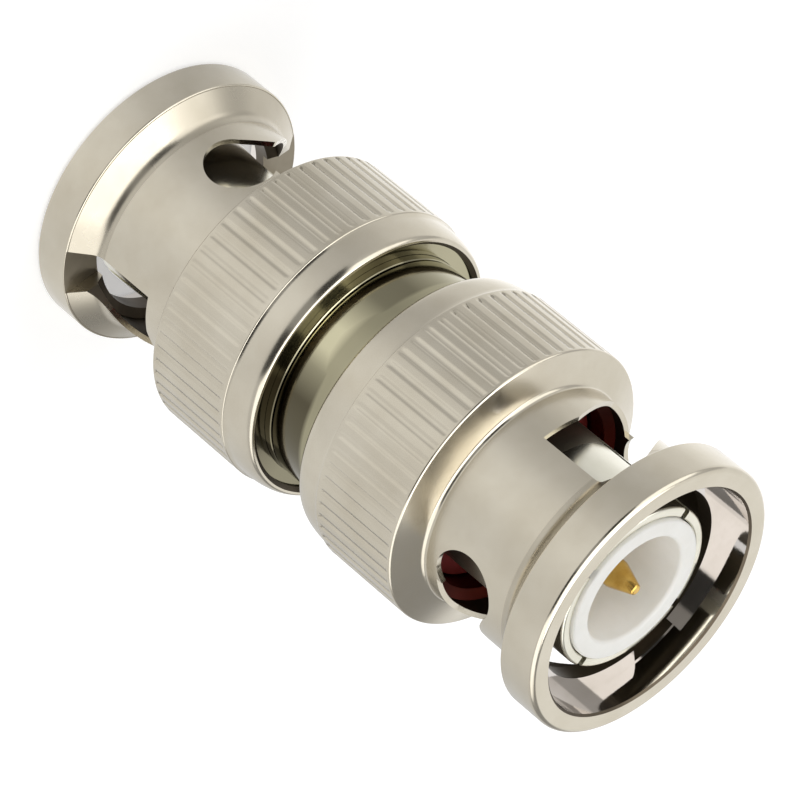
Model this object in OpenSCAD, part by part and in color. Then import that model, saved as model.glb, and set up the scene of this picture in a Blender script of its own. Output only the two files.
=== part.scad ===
// Straight BNC adapter, plug to plug. Two bayonet coupling nuts face away
// from each other on one slim body. It stands on its lower mouth, with the
// axis of the bore along Z and the origin at the centre of that mouth.
// Lengths named *_at are measured from the mouth of the nut they belong to.

/* [Coupling nut] */
// Diameter of the lip round the mouth
lip_d = 13.76; // [13.2:0.02:14.2]
// Length of the lip
lip_len = 2; // [1.8:0.05:2.2]
// Radius on the front edge of the lip
lip_round = 0.35; // [0.1:0.05:0.45]
// Length of the hollow fillet from the lip to the barrel
lip_neck = 0.66; // [0.3:0.02:1]
// Diameter of the recess in the mouth
mouth_d = 11.7; // [11.5:0.05:12]
// Depth of the recess in the mouth
mouth_depth = 1.45; // [1:0.05:1.6]
// Diameter of the bore that guides the jack
nut_bore_d = 9.9; // [9.8:0.05:10.2]
// Outer diameter of the barrel
barrel_d = 11.3; // [11.2:0.05:11.8]
// Diameter of the relief inside the barrel
relief_d = 10.4; // [10.2:0.05:10.6]
// Length of the barrel, lip included
barrel_len = 7.98; // [7.7:0.02:8.2]
// Radius in the corner between barrel and shoulder
shoulder_fillet = 0.25; // [0.1:0.05:0.4]
// Wall of the grip outside the spring chamber
grip_wall = 0.8; // [0.6:0.05:0.9]

/* [Knurled grip] */
// Diameter over the knurl
knurl_d = 14.4; // [14.2:0.05:15]
// Where the knurled band begins
knurl_at = 8.67; // [8.5:0.01:9]
// Length of the knurled band
knurl_len = 4.5; // [3.5:0.05:4.8]
// Number of grooves round the band
knurl_count = 60; // [24:1:72]
// Width of one groove
knurl_w = 0.26; // [0.16:0.02:0.34]
// Plain edge in front of and behind the grooves
knurl_margin = 0.2; // [0.15:0.05:0.6]
// How far the rear rim lies inside the knurl
rim_step = 0.37; // [0.2:0.01:0.45]
// Length of the rim behind the retaining ring
rim_len = 0.24; // [0.2:0.02:1]
// Width of the bevel inside the rim
rim_bevel = 0.19; // [0.05:0.02:0.25]

/* [Bayonet] */
// Diameter of the two holes that catch the studs
catch_d = 3.3; // [2.4:0.1:3.4]
// Where the centre of the catch holes lies
catch_at = 5.72; // [5.5:0.02:5.9]
// Turn from a catch hole to the straight side of the next entry
entry_turn = 80; // [76:0.5:90]
// Width of the entry for a stud
entry_w = 2.1; // [2.05:0.05:2.6]
// How much the groove under the lip is wider than the entry, on each side
groove_extra = 0.12; // [0.05:0.01:0.3]
// Diameter over the tips of the studs, clearance included
stud_span = 11.3; // [11.2:0.05:11.4]
// Where the ramp leaves the entry
ramp_at = 3.05; // [2.9:0.05:3.6]
// Where the ramp is deepest
ramp_top_at = 5; // [4.6:0.05:5.2]
// Turn at which the ramp is deepest
ramp_top_turn = 150; // [140:1:155]
// Where the ramp meets the catch hole
ramp_end_at = 4.8; // [4.5:0.05:5]
// Where the back wall of the entry lies
entry_back_at = 6.33; // [6.2:0.05:6.6]

/* [Outer contact] */
// Diameter of the shank behind the sprung part
contact_d = 8.1; // [8:0.02:8.2]
// How far the sprung tip stands out over the shank
contact_bulge = 0.08; // [0:0.01:0.1]
// Wall of the sprung part
contact_wall = 0.4; // [0.3:0.05:0.45]
// How far the tip stands behind the mouth of the nut
contact_at = 1.1; // [0.6:0.05:1.4]
// Length of the tip in front of the gasket
contact_reach = 8.1; // [7.7:0.05:8.6]
// Length of the shank inside the body
contact_seat = 2.1; // [1.5:0.1:3]
// Number of slits
slit_count = 4; // [4:2:8]
// Width of a slit
slit_w = 0.4; // [0.25:0.05:0.6]
// Length of a slit
slit_len = 5.4; // [3:0.1:6.4]
// Turn of the first slit
slit_turn = 80; // [0:5:90]

/* [Insulator and centre contact] */
// How far the insulator stands behind the tip of the outer contact, less than 0 in front
insulator_back = -0.16; // [-0.3:0.02:0.5]
// Diameter of the socket in the insulator
socket_d = 5.4; // [4.8:0.1:5.8]
// Depth of the socket
socket_depth = 5.6; // [4.5:0.1:7]
// Chamfer round the mouth of the socket
socket_chamfer = 0.2; // [0.05:0.05:0.35]
// Diameter of the centre contact
pin_d = 1.35; // [1.32:0.01:1.37]
// Length of the tapered tip
pin_taper = 1.2; // [0.8:0.1:2]
// Diameter at the end of the tip
pin_tip_d = 0.55; // [0.3:0.05:0.8]
// How far the tip stands in front of the outer contact
pin_lead = 0.2; // [-0.8:0.05:0.3]
// Diameter of the shank behind the bare part of the contact
pin_shank_d = 1.8; // [1.5:0.05:2]
// Diameter of the collar that holds the contact
pin_collar_d = 2.6; // [2.1:0.1:3]
// Length of the collar
pin_collar_len = 1.6; // [0.8:0.1:3]

/* [Body and seals] */
// Thickness of the gasket
gasket_len = 0.95; // [0.7:0.05:1.4]
// Outer diameter of the gasket
gasket_d = 9.7; // [9.5:0.02:9.78]
// Length of the collar that stops the nut
collar_len = 0.9; // [0.6:0.05:1.5]
// Radial width of the spring chamber, from the hub to the grip
spring_w = 0.7; // [0.6:0.05:0.9]
// Length of the hub that shows between the nut and the sleeve
hub_show = 0.11; // [0.1:0.01:1.5]
// Height of the middle sleeve over the hub
sleeve_step = 0.12; // [0.05:0.01:0.25]
// Length of the middle sleeve
sleeve_len = 2.96; // [2:0.02:6]
// Wall of the middle sleeve
sleeve_wall = 0.8; // [0.6:0.05:1.1]
// Chamfer on the edges of the sleeve
sleeve_chamfer = 0.12; // [0.05:0.01:0.3]

/* [Springs and rings] */
// Height of the spring pack at rest
spring_len = 2.5; // [2:0.05:3]
// Thickness of one spring washer
spring_t = 0.2; // [0.15:0.01:0.3]
// Thickness of the thrust washer
washer_t = 0.5; // [0.3:0.05:0.8]
// Thickness of the retaining ring
ring_t = 0.68; // [0.4:0.02:0.8]
// Depth of the groove for the retaining ring
ring_groove = 0.22; // [0.15:0.01:0.25]
// Opening of the retaining ring, in degrees
ring_gap = 30; // [20:1:40]
// Turn from a catch hole to the opening of the retaining ring
ring_turn = 217; // [0:1:359]

/* [Clearances] */
// Radial running clearance of the nut, washers and springs
run_gap = 0.1; // [0.05:0.01:0.15]
// Gap between faces that meet
face_gap = 0.05; // [0.02:0.01:0.1]
// Radial clearance of pieces pressed together
seat_gap = 0.02; // [0.01:0.01:0.04]

/* [Position of the nuts] */
// Turn of the catch hole on the lower nut
lower_turn = -127.4; // [-180:0.1:180]
// Turn of the catch hole on the upper nut
upper_turn = -36; // [-180:0.1:180]

/* [Hidden] */

nickel = [0.78, 0.75, 0.68];
spring_steel = [0.60, 0.60, 0.62];
gold = [0.85, 0.65, 0.25];
fluoropolymer = [0.95, 0.95, 0.92];
silicone = [0.40, 0.08, 0.06];

// Stations along one plug, counted from the mouth of its nut
gasket_at = contact_at + contact_reach;
collar_at = gasket_at + gasket_len;
spring_at = collar_at + collar_len;
washer_at = spring_at + spring_len;
ring_at = washer_at + washer_t + face_gap;
groove_end = ring_at + ring_t + face_gap / 2;
nut_len = groove_end + rim_len;
sleeve_at = nut_len + hub_show;
middle = sleeve_at + sleeve_len / 2;
total_len = 2 * middle;
contact_end = collar_at + contact_seat;

insulator_at = contact_at + insulator_back;
socket_floor_at = insulator_at + socket_depth;

// Radii that follow from the sizes above
lip_r = lip_d / 2;
barrel_r = barrel_d / 2;
knurl_r = knurl_d / 2;
chamber_r = knurl_r - grip_wall;
moving_r = chamber_r - run_gap;
groove_r = chamber_r + ring_groove;
rim_r = knurl_r - rim_step;
hub_r = chamber_r - spring_w;
sleeve_r = hub_r + sleeve_step;
spigot_r = sleeve_r - sleeve_wall - seat_gap;
contact_in_r = contact_d / 2 - contact_wall;
insulator_r = contact_in_r - face_gap;
entry_end = entry_turn + entry_w / (stud_span / 2) * 180 / PI;
catch_back_at = catch_at + catch_d / 2;
edge = 0.1;

// Points of an arc round c; a0 and a1 are in degrees from +X
function arc(c, r, a0, a1, n = 5) =
    [for (i = [0:n]) let (a = a0 + (a1 - a0) * i / n) c + r * [cos(a), sin(a)]];

// Points of a hollow quarter ellipse from a face at z0 down to a barrel
function hollow(r_barrel, w, z0, h, n = 8) =
    [for (i = [0:n]) let (a = 90 * i / n)
        [r_barrel + w * (1 - sin(a)), z0 + h * (1 - cos(a))]];

// Front wall of the bayonet slot, the ramp on which a stud runs
function ramp(a) =
    a < ramp_top_turn
        ? ramp_at + (ramp_top_at - ramp_at) * (a - entry_end) / (ramp_top_turn - entry_end)
        : ramp_top_at + (ramp_end_at - ramp_top_at)
            * (1 - cos(90 * min(1, (a - ramp_top_turn) / (166 - ramp_top_turn))));

// Back wall of the bayonet slot
function slot_back(a) =
    entry_back_at + (catch_back_at - entry_back_at)
        * max(0, min(1, (a - entry_end) / (ramp_top_turn - 10 - entry_end)));

module ring(r_in, r_out, h, z = 0) {
    translate([0, 0, z])
        rotate_extrude($fn = 120)
            translate([r_in, 0])
                square([r_out - r_in, h]);
}

// Stands a piece that is drawn mouth down at the other end, mouth up
module at_upper_end(turn = 0) {
    rotate([0, 0, turn])
        translate([0, 0, total_len])
            rotate([180, 0, 0])
                children();
}

module nut_blank() {
    shoulder_r = knurl_r - 2 * edge;
    knurl_end = knurl_at + knurl_len;
    outer = concat(
        [[mouth_d / 2 + edge, 0]],
        arc([lip_r - lip_round, lip_round], lip_round, -90, 0),
        arc([lip_r - edge, lip_len - edge], edge, 0, 90, 3),
        hollow(barrel_r, lip_r - edge - barrel_r, lip_len, lip_neck),
        arc([barrel_r + shoulder_fillet, barrel_len], shoulder_fillet, 180, 110, 4),
        [[shoulder_r, knurl_at - edge], [knurl_r - edge / 2, knurl_at],
            [knurl_r, knurl_at + edge],
            [knurl_r, knurl_end - edge], [knurl_r - edge / 2, knurl_end]],
        [for (i = [1:6]) let (a = 90 * i / 6)
            [rim_r - edge + (knurl_r - edge - rim_r) * cos(a),
                knurl_end + (nut_len - knurl_end) * sin(a)]]);
    inner = [
        [chamber_r + rim_bevel + edge / 2, nut_len], [chamber_r + edge / 2, nut_len - 0.15],
        [chamber_r + edge / 2, groove_end], [groove_r, groove_end],
        [groove_r, ring_at - face_gap / 2], [chamber_r, ring_at - face_gap / 2],
        [chamber_r, collar_at - face_gap], [nut_bore_d / 2, collar_at - face_gap],
        [nut_bore_d / 2, barrel_len + 0.25], [relief_d / 2, barrel_len],
        [relief_d / 2, lip_len + 0.5], [nut_bore_d / 2, lip_len + 0.3],
        [nut_bore_d / 2, mouth_depth], [mouth_d / 2, mouth_depth],
        [mouth_d / 2, edge]];
    rotate_extrude($fn = 180) polygon(concat(outer, inner));
}

// The slot behind the lip, from the entry along the ramp to the catch hole
module bayonet_slot() {
    r_in = nut_bore_d / 2 - 0.4;
    r_out = lip_r + 0.6;
    turns = concat([entry_turn, entry_end, entry_end + 0.25],
        [for (i = [1:16]) entry_end + (170 - entry_end) * i / 16]);
    n = len(turns);
    function front(i) = i < 2 ? lip_len : ramp(turns[i]);
    points = [for (i = [0:n - 1]) let (a = turns[i], f = front(i), b = slot_back(a))
        each [[r_in * cos(a), r_in * sin(a), f], [r_out * cos(a), r_out * sin(a), f],
            [r_out * cos(a), r_out * sin(a), b], [r_in * cos(a), r_in * sin(a), b]]];
    sides = [for (i = [0:n - 2], k = [0:3]) let (p = 4 * i + k, q = 4 * i + (k + 1) % 4)
        each [[p, q, q + 4], [p, q + 4, p + 4]]];
    polyhedron(points, concat([[3, 2, 1, 0]], sides,
        [[4 * n - 4, 4 * n - 3, 4 * n - 2, 4 * n - 1]]));
}

// The groove through which a stud passes under the lip
module entry_groove() {
    extra_turn = groove_extra / (stud_span / 2) * 180 / PI;
    rotate([0, 0, entry_turn - extra_turn])
        rotate_extrude(angle = entry_end - entry_turn + 2 * extra_turn, $fn = 180)
            translate([nut_bore_d / 2 - 0.4, mouth_depth - edge])
                square([(stud_span - nut_bore_d) / 2 + 0.5, lip_len - mouth_depth + 2 * edge]);
}

module knurl_grooves() {
    first = knurl_at + knurl_margin + knurl_w / 2;
    for (i = [0:knurl_count - 1])
        rotate([0, 0, 360 * i / knurl_count])
            translate([knurl_r, 0, first])
                cylinder(d = knurl_w, h = knurl_len - 2 * knurl_margin, $fn = 16);
}

module coupling_nut() {
    color(nickel)
        difference() {
            nut_blank();
            for (side = [0, 180])
                rotate([0, 0, side]) {
                    bayonet_slot();
                    entry_groove();
                    translate([0, 0, catch_at])
                        rotate([0, 90, 0])
                            cylinder(d = catch_d, h = lip_r + 1, $fn = 64);
                }
            knurl_grooves();
        }
}

module outer_contact() {
    nose = 0.15;
    r = contact_d / 2;
    tip_r = r + contact_bulge;
    color(nickel)
        difference() {
            rotate_extrude($fn = 120)
                polygon([[contact_in_r, contact_at], [tip_r - nose, contact_at],
                    [tip_r, contact_at + nose], [tip_r, contact_at + 1.2],
                    [r, contact_at + 2.4], [r, contact_end], [contact_in_r, contact_end]]);
            for (i = [0:slit_count - 1])
                rotate([0, 0, slit_turn + 360 * i / slit_count])
                    translate([contact_in_r / 2, -slit_w / 2, contact_at - 1])
                        cube([contact_d, slit_w, slit_len + 1]);
        }
}

module insulator() {
    shank_r = pin_shank_d / 2 + seat_gap;
    recess_at = middle - pin_collar_len / 2 - seat_gap;
    color(fluoropolymer)
        rotate_extrude($fn = 96)
            polygon([[socket_d / 2 + socket_chamfer, insulator_at],
                [insulator_r - edge, insulator_at], [insulator_r, insulator_at + edge],
                [insulator_r, middle - seat_gap],
                [pin_collar_d / 2 + seat_gap, middle - seat_gap],
                [pin_collar_d / 2 + seat_gap, recess_at],
                [shank_r, recess_at], [shank_r, socket_floor_at],
                [socket_d / 2, socket_floor_at], [socket_d / 2, insulator_at + socket_chamfer]]);
}

module centre_contact() {
    tip_at = contact_at - pin_lead;
    end = concat([[0, tip_at]],
            arc([pin_tip_d / 2 - edge, tip_at + edge], edge, -90, -15, 3),
            [[pin_d / 2, tip_at + pin_taper], [pin_d / 2, socket_floor_at],
                [pin_shank_d / 2, socket_floor_at],
                [pin_shank_d / 2, middle - pin_collar_len / 2],
                [pin_collar_d / 2, middle - pin_collar_len / 2]]);
    other = [for (i = [len(end) - 1:-1:0]) [end[i][0], total_len - end[i][1]]];
    color(gold) rotate_extrude($fn = 64) polygon(concat(end, other));
}

module gasket() {
    color(silicone) ring(contact_d / 2 + seat_gap, gasket_d / 2, gasket_len, gasket_at);
}

// Half of the body: the collar stops the nut, the hub carries the springs
// and the spigot is pressed into the middle sleeve
module body_half() {
    bore_r = contact_d / 2 + seat_gap;
    inner_r = contact_in_r;
    color(nickel)
        rotate_extrude($fn = 120)
            polygon([[bore_r, collar_at], [moving_r, collar_at], [moving_r, spring_at],
                [hub_r, spring_at], [hub_r, sleeve_at], [spigot_r, sleeve_at],
                [spigot_r, middle - seat_gap], [inner_r, middle - seat_gap],
                [inner_r, contact_end + seat_gap], [bore_r, contact_end + seat_gap]]);
}

module middle_sleeve() {
    r = sleeve_r;
    in_r = spigot_r + seat_gap;
    end_at = sleeve_at + sleeve_len;
    color(nickel)
        rotate_extrude($fn = 120)
            polygon([[in_r, sleeve_at + seat_gap], [r - sleeve_chamfer, sleeve_at + seat_gap],
                [r, sleeve_at + sleeve_chamfer], [r, end_at - sleeve_chamfer],
                [r - sleeve_chamfer, end_at - seat_gap], [in_r, end_at - seat_gap]]);
}

// A bowed spring washer; two of them face each other to make the pack
module spring_washer(index) {
    h = spring_len / 2;
    bow = h - spring_t - 2 * seat_gap;
    big_r = (moving_r * moving_r + bow * bow) / (2 * bow);
    z = spring_at + h * index;
    low = z + seat_gap;
    color(spring_steel)
        intersection() {
            ring(hub_r + run_gap, moving_r, h, z);
            translate([0, 0, index == 0 ? low + spring_t + bow - big_r : low + big_r])
                rotate([90, 0, 0])
                    difference() {
                        cylinder(r = big_r, h = 2 * lip_d, center = true, $fn = 360);
                        cylinder(r = big_r - spring_t, h = 2 * lip_d + 1, center = true, $fn = 360);
                    }
        }
}

module thrust_washer() {
    color(spring_steel) ring(hub_r + run_gap, moving_r, washer_t, washer_at);
}

module retaining_ring() {
    color(spring_steel)
        rotate([0, 0, ring_turn + ring_gap])
            translate([0, 0, ring_at])
                rotate_extrude(angle = 360 - ring_gap, $fn = 120)
                    translate([hub_r + 1.5 * run_gap, 0])
                        square([groove_r - seat_gap - hub_r - 1.5 * run_gap, ring_t]);
}

middle_sleeve();
body_half();  // body_lower
at_upper_end() body_half();  // body_upper
outer_contact();  // outer_contact_lower
at_upper_end() outer_contact();  // outer_contact_upper
insulator();  // insulator_lower
at_upper_end() insulator();  // insulator_upper
centre_contact();
gasket();  // gasket_lower
at_upper_end() gasket();  // gasket_upper
rotate([0, 0, lower_turn]) coupling_nut();  // coupling_nut_lower
at_upper_end(upper_turn) coupling_nut();  // coupling_nut_upper
spring_washer(0);  // spring_washer_lower_a
spring_washer(1);  // spring_washer_lower_b
at_upper_end() spring_washer(0);  // spring_washer_upper_a
at_upper_end() spring_washer(1);  // spring_washer_upper_b
thrust_washer();  // thrust_washer_lower
at_upper_end() thrust_washer();  // thrust_washer_upper
rotate([0, 0, lower_turn]) retaining_ring();  // retaining_ring_lower
at_upper_end(upper_turn) retaining_ring();  // retaining_ring_upper
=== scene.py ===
"""Straight bayonet coaxial adapter, plug to plug, in a plain pale studio.

Every length is in millimetres unless its name says otherwise, and MM turns it
into metres. The adapter stands on its lower mouth: its axis is Z, the lower
plug opens at z = 0 and the upper one at the top. The two plugs are alike, so
each piece is drawn once, mouth down, and the upper one is turned end for end.
A height named *_at is measured from the mouth of the plug it belongs to.
"""
import logging
import math
from dataclasses import dataclass
from enum import Enum, IntEnum
from typing import Optional

import bmesh
import bpy
from bpy.types import Material, MeshPolygon, Node, NodeSocket, Object
from mathutils import Matrix, Vector


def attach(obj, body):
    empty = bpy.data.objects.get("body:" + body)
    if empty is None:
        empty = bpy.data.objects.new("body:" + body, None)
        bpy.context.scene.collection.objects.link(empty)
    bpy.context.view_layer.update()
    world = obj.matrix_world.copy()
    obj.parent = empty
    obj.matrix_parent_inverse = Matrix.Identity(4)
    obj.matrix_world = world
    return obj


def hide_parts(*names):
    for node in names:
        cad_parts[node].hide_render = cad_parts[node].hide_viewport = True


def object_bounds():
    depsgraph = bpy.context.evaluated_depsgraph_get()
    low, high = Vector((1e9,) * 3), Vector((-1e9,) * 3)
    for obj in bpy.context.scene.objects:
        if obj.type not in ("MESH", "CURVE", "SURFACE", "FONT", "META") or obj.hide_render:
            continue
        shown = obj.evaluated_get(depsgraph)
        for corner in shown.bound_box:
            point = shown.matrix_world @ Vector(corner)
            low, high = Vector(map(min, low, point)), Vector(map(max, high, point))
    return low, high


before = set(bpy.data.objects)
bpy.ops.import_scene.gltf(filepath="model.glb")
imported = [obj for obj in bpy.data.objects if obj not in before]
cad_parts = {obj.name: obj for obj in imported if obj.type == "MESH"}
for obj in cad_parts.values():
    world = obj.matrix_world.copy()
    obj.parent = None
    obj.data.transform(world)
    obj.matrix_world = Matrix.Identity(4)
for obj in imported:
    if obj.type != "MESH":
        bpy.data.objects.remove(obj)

MM: float = 0.001
# Points closer than this, in metres, are one point
WELD: float = 1e-7
# How far a cutter reaches past what it cuts
OVERLAP: float = 0.1
# How close a face or point has to be to lie on a surface
NEAR: float = 0.01
# How far short of the middle the pieces of each plug end
SEAM: float = 0.02
Points = list[tuple[float, float]]
Stops = tuple[tuple[float, float], ...]
LOG = logging.getLogger("adapter")
CAD_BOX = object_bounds()
# The adapter's length
TOTAL: float = (CAD_BOX[1].z - CAD_BOX[0].z) / MM


class End(Enum):
    """The two alike ends of the adapter."""

    LOWER = "lower"
    UPPER = "upper"


def linear(hex_colour: str) -> tuple[float, float, float, float]:
    """Turns an sRGB hex colour into linear RGBA.

    Args:
        hex_colour: Six hex digits, such as "C8BFA8".

    Returns:
        Red, green, blue and alpha, linear.
    """
    parts = [int(hex_colour[i : i + 2], 16) / 255 for i in (0, 2, 4)]
    rgb = [c / 12.92 if c <= 0.04045 else ((c + 0.055) / 1.055) ** 2.4 for c in parts]
    return (rgb[0], rgb[1], rgb[2], 1.0)


class NodeTree:
    """The nodes of a material or world, added with their settings and links."""

    def __init__(self, owner: bpy.types.ID) -> None:
        """Clears the nodes of a new material or world.

        Args:
            owner: The material or world.
        """
        owner.use_nodes = True
        self.tree = owner.node_tree
        self.tree.nodes.clear()

    def add(
        self,
        kind: str,
        settings: Optional[dict[str, object]] = None,
        values: Optional[dict[object, object]] = None,
        links: Optional[dict[object, object]] = None,
        greys: Optional[dict[float, float]] = None,
    ) -> Node:
        """Adds a node.

        Args:
            kind: The node's type, such as "ShaderNodeTexNoise".
            settings: Attributes of the node itself.
            values: Constants for its input sockets, by name or index.
            links: Output sockets to join to its inputs, by name or index.
            greys: The linear grey level at each place of a colour ramp, from 0 to 1.

        Returns:
            The new node.
        """
        node = self.tree.nodes.new(kind)
        for key, value in (settings or {}).items():
            setattr(node, key, value)
        for key, value in (values or {}).items():
            node.inputs[key].default_value = value
        for key, socket in (links or {}).items():
            self.tree.links.new(socket, node.inputs[key])
        for index, (place, level) in enumerate(sorted((greys or {}).items())):
            band = node.color_ramp.elements
            stop = band[index] if index < 2 else band.new(place)
            stop.position = place
            stop.color = (level, level, level, 1.0)
        return node

    def level_round(self, place: NodeSocket, greys: dict[float, float]) -> NodeSocket:
        """Adds a grey level that depends on the direction round the Z axis.

        Args:
            place: A vector socket with a place or a direction.
            greys: The level at each fraction of a turn, 0.5 being -Y.

        Returns:
            The socket of the level.
        """
        quarter = (0.0, 0.0, math.pi / 2)
        turned = self.add(
            "ShaderNodeMapping", values={"Rotation": quarter}, links={"Vector": place}
        )
        turn = self.add(
            "ShaderNodeTexGradient",
            settings={"gradient_type": "RADIAL"},
            links={"Vector": turned.outputs["Vector"]},
        )
        return self.add(
            "ShaderNodeValToRGB", links={0: turn.outputs["Fac"]}, greys=greys
        ).outputs["Color"]

    def relief(
        self,
        place: NodeSocket,
        pitch: tuple[float, float, float],
        depth: float,
        under: Optional[NodeSocket] = None,
    ) -> NodeSocket:
        """Adds fine, uneven marks to a surface.

        Args:
            place: The socket with the object coordinates.
            pitch: How far apart they are along each axis, or 0 for no change along it.
            depth: How deep they are.
            under: The normal of other marks beneath them.

        Returns:
            The socket of the normal.
        """
        spread = self.add(
            "ShaderNodeMapping",
            values={"Scale": [gap and 1 / (gap * MM) for gap in pitch]},
            links={"Vector": place},
        )
        marks = self.add(
            "ShaderNodeTexNoise",
            values={"Scale": 1.0, "Detail": 2.0},
            links={"Vector": spread.outputs["Vector"]},
        )
        return self.add(
            "ShaderNodeBump",
            values={"Strength": 1.0, "Distance": depth * MM},
            links={"Height": marks.outputs["Fac"], **({"Normal": under} if under else {})},
        ).outputs["Normal"]


def deselect() -> None:
    for item in bpy.context.selected_objects:
        item.select_set(False)


def activate(item: Object) -> None:
    """Selects one object alone and makes it active.

    Args:
        item: The object.
    """
    deselect()
    item.select_set(True)
    bpy.context.view_layer.objects.active = item


def settle(item: Object) -> None:
    """Applies an object's place to its mesh, so that it sits at the origin."""
    activate(item)
    bpy.ops.object.transform_apply(location=True, rotation=True, scale=True)


def apply_modifier(item: Object, kind: str, **settings: object) -> None:
    """Adds a modifier, sets it and applies it.

    Args:
        item: The object.
        kind: The modifier's type, such as "BEVEL".
        settings: Its attributes.
    """
    activate(item)
    modifier = item.modifiers.new(kind.title(), kind)
    for key, value in settings.items():
        setattr(modifier, key, value)
    bpy.ops.object.modifier_apply(modifier=modifier.name)


def smooth_by_angle(item: Object, degrees: float = 35.0) -> None:
    """Shades an object smooth, but for the edges above an angle in degrees."""
    activate(item)
    bpy.ops.object.shade_smooth_by_angle(angle=math.radians(degrees))


def close_up() -> None:
    """Welds the mesh in edit mode, faces it outward and leaves edit mode."""
    bpy.ops.mesh.select_all(action="SELECT")
    bpy.ops.mesh.remove_doubles(threshold=WELD)
    bpy.ops.mesh.normals_make_consistent(inside=False)
    bpy.ops.object.mode_set(mode="OBJECT")


def around(points: Points, turn: float) -> list[Vector]:
    """Gives the places in metres of (radius, height) points at a turn in degrees about Z."""
    a = math.radians(turn)
    return [Vector((radius * math.cos(a), radius * math.sin(a), z)) * MM for radius, z in points]


def section(corners: list[Vector]) -> Object:
    """Draws a face with four corners and stays in edit mode.

    Args:
        corners: Their places, in metres.

    Returns:
        The object, with its face selected.
    """
    deselect()
    bpy.ops.mesh.primitive_plane_add(size=MM)
    item = bpy.context.active_object
    bpy.ops.object.mode_set(mode="EDIT")
    mesh = bmesh.from_edit_mesh(item.data)
    for vert, corner in zip(list(mesh.faces)[0].verts, corners):
        vert.co = corner
    bmesh.update_edit_mesh(item.data)
    return item


def spun(name: str, profile: Points, steps: int, closed: bool = True) -> Object:
    """Turns a profile of (radius, height) points round Z, as on a lathe.

    A plane is merged to one vertex, which is extruded from point to point in
    edit mode, and the row is then spun through a full turn.

    Args:
        name: The object's name.
        profile: Radius and height of each point, in millimetres.
        steps: Facets round the turn.
        closed: Whether the last point joins the first.

    Returns:
        The turned object, at the origin, normals outward.
    """
    deselect()
    bpy.ops.mesh.primitive_plane_add(size=MM, location=(0, 0, 0))
    item = bpy.context.active_object
    item.name = name
    item.data.name = name
    bpy.ops.object.mode_set(mode="EDIT")
    bpy.ops.mesh.select_all(action="SELECT")
    bpy.ops.mesh.merge(type="CENTER")
    spots = around(profile, 0.0)
    bpy.ops.transform.translate(value=spots[0])
    for here, there in zip(spots, spots[1:]):
        bpy.ops.mesh.extrude_region_move(TRANSFORM_OT_translate={"value": there - here})
    if closed:
        mesh = bmesh.from_edit_mesh(item.data)
        ends = [v for v in mesh.verts if len(v.link_edges) == 1]
        mesh.edges.new(ends).select_set(True)
        bmesh.update_edit_mesh(item.data)
    bpy.ops.mesh.select_all(action="SELECT")
    bpy.ops.mesh.spin(steps=steps, angle=2 * math.pi, center=(0, 0, 0), axis=(0, 0, 1))
    close_up()
    return item


def profile_arc(
    centre: tuple[float, float], radius: float, start: float, stop: float, steps: int = 6
) -> Points:
    """Gives the points of an arc in the (radius, height) plane.

    Args:
        centre: The arc's centre.
        radius: Its radius.
        start: Where it begins, in degrees from the outward direction.
        stop: Where it ends.
        steps: How many straight lengths it has.

    Returns:
        The points, first to last.
    """
    turns = [math.radians(start + (stop - start) * i / steps) for i in range(steps + 1)]
    return [(centre[0] + radius * math.cos(a), centre[1] + radius * math.sin(a)) for a in turns]


def cut(item: Object, cutter: Object) -> None:
    """Takes a closed cutter's shape out of an object and deletes the cutter."""
    apply_modifier(item, "BOOLEAN", object=cutter, operation="DIFFERENCE", solver="EXACT")
    bpy.data.objects.remove(cutter)


def copy_of(item: Object, name: str) -> Object:
    """Copies an object with its own mesh.

    Args:
        item: The object to copy.
        name: The copy's name.

    Returns:
        The copy, linked to the scene.
    """
    twin = item.copy()
    twin.data = item.data.copy()
    twin.name = name
    twin.data.name = name
    bpy.context.scene.collection.objects.link(twin)
    return twin


def coat(item: Object, *finishes: Material) -> None:
    """Gives an object its materials.

    Args:
        item: The object.
        finishes: The materials, in the order of its faces' indices.
    """
    item.data.materials.clear()
    for finish in finishes:
        item.data.materials.append(finish)


def stand(item: Object, end: End, turn: float) -> None:
    """Puts a piece drawn mouth down where its end of the adapter is.

    Args:
        item: The piece, drawn about Z with its mouth at z = 0.
        end: The end it belongs to.
        turn: Its turn about Z, in degrees.
    """
    place = Matrix.Rotation(math.radians(turn), 4, "Z")
    if end is End.UPPER:
        flip = Matrix.Rotation(math.pi, 4, "X")
        place = place @ Matrix.Translation((0, 0, TOTAL * MM)) @ flip
    item.matrix_world = place
    settle(item)


class SurfaceWork(Enum):
    """How a surface was made, which sets the marks on it."""

    PLATED = "plated"
    TURNED = "turned"
    STAMPED = "stamped"
    MOULDED = "moulded"


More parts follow.
